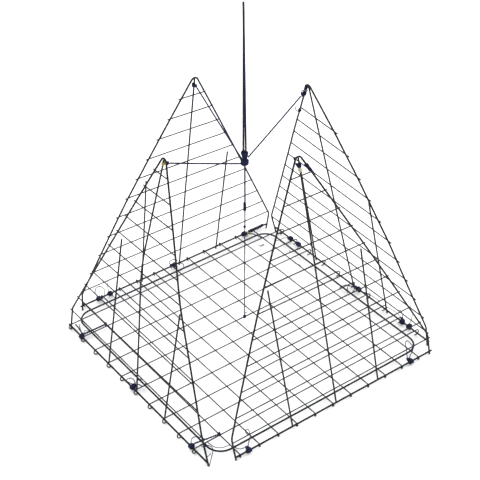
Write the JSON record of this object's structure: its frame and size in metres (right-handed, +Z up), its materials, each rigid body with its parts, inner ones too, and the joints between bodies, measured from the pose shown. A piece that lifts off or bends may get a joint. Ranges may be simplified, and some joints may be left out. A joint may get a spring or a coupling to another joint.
{
  "type": "folding crab trap",
  "caption": "Folding pyramid crab trap: square wire floor with four hinged wire panels drawn up by cords to a knotted hauling line",
  "frame": {"origin": "on the ground under the middle of the floor grid", "axes": "+Z up, -Y towards the front panel, +X towards the right panel"},
  "size_m": [0.459, 0.4548, 0.6044],
  "materials": {
    "coated_wire": "near-black coating on steel wire, satin",
    "twine": "navy twisted nylon twine",
    "cord": "navy twisted nylon cord"
  },
  "bodies": {
    "base": {"floor_rim": "coated_wire", "floor_cross_wires": "coated_wire", "floor_long_wires": "coated_wire", "front_lashing_1": "twine", "front_lashing_2": "twine", "right_lashing_1": "twine", "right_lashing_2": "twine", "right_lashing_3": "twine", "right_lashing_4": "twine", "right_lashing_5": "twine", "back_lashing_1": "twine", "back_lashing_2": "twine", "back_lashing_3": "twine", "back_lashing_4": "twine", "left_lashing_1": "twine", "left_lashing_2": "twine", "left_lashing_3": "twine", "left_lashing_strand_1": "twine", "left_lashing_strand_3": "twine", "gather_knot": "cord", "collar_knot": "cord", "hauling_line": "cord", "centre_line": "cord", "centre_line_binding": "cord", "centre_line_knot": "cord", "floor_tie": "cord", "right_bridle_cord": "cord", "back_bridle_cord": "cord", "left_bridle_cord": "cord"},
    "front_panel": {"front_panel_rim": "coated_wire", "front_hinge_wire": "coated_wire", "front_rungs": "coated_wire", "front_centre_wire": "coated_wire", "front_side_wires": "coated_wire", "front_apex_hitch": "cord"},
    "right_panel": {"right_panel_rim": "coated_wire", "right_hinge_wire": "coated_wire", "right_rungs": "coated_wire", "right_centre_wire": "coated_wire", "right_side_wires": "coated_wire", "right_apex_hitch": "cord"},
    "back_panel": {"back_panel_rim": "coated_wire", "back_hinge_wire": "coated_wire", "back_rungs": "coated_wire", "back_centre_wire": "coated_wire", "back_side_wires": "coated_wire", "back_apex_hitch": "cord"},
    "left_panel": {"left_panel_rim": "coated_wire", "left_hinge_wire": "coated_wire", "left_rungs": "coated_wire", "left_centre_wire": "coated_wire", "left_side_wires": "coated_wire", "left_apex_hitch": "cord"}
  },
  "joints": [
    {"name": "front_fold", "type": "hinge", "parent": "base", "child": "front_panel", "pos_m": [0, -0.2236, 0.008], "axis": [-1, 0, 0], "range_deg": [-101, 3]},
    {"name": "right_fold", "type": "hinge", "parent": "base", "child": "right_panel", "pos_m": [0.2236, 0, 0.008], "axis": [0, -1, 0], "range_deg": [-101, 3], "deforming": ["right_bridle_cord"]},
    {"name": "back_fold", "type": "hinge", "parent": "base", "child": "back_panel", "pos_m": [0, 0.2236, 0.008], "axis": [1, 0, 0], "range_deg": [-101, 3], "deforming": ["back_bridle_cord"]},
    {"name": "left_fold", "type": "hinge", "parent": "base", "child": "left_panel", "pos_m": [-0.2236, 0, 0.008], "axis": [0, 1, 0], "range_deg": [-101, 3], "deforming": ["left_bridle_cord"]}
  ],
  "couplings": [
    {"joint": "right_fold", "follows": "front_fold", "ratio": 1},
    {"joint": "back_fold", "follows": "front_fold", "ratio": 1},
    {"joint": "left_fold", "follows": "front_fold", "ratio": 1}
  ]
}
